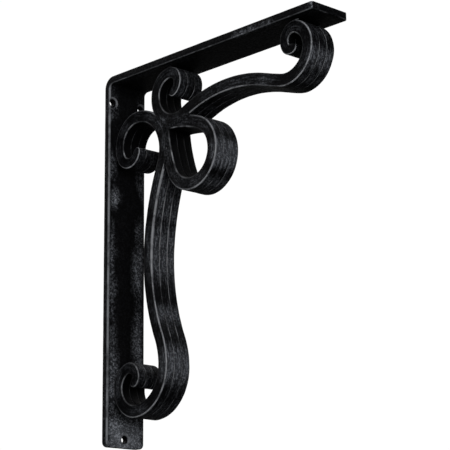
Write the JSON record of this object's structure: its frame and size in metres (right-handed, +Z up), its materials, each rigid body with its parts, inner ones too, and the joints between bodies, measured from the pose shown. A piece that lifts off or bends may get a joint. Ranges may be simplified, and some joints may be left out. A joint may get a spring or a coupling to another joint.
{
  "type": "wrought iron bracket",
  "caption": "Shelf bracket of bent flat iron bar, carried by a brace of scrolled square bars with a ring where they meet; screws to a wall.",
  "frame": {"origin": "on the wall face of the upright flat bar, midway between its two upper screw holes", "axes": "+X out from the wall along the arm, +Y across the bar's width, +Z up"},
  "size_m": [0.3175, 0.0508, 0.4064],
  "materials": {
    "flat_bar_iron": "hammered black iron, mottled grey, satin",
    "brace_iron": "hammered black iron with worn light edges, satin"
  },
  "bodies": {
    "root": {"flat_bar": "flat_bar_iron", "arm_scroll_near": "brace_iron", "arm_scroll_middle": "brace_iron", "arm_scroll_far": "brace_iron", "wall_scroll_near": "brace_iron", "wall_scroll_middle": "brace_iron", "wall_scroll_far": "brace_iron", "ring_near": "brace_iron", "ring_middle": "brace_iron", "ring_far": "brace_iron"}
  },
  "joints": []
}
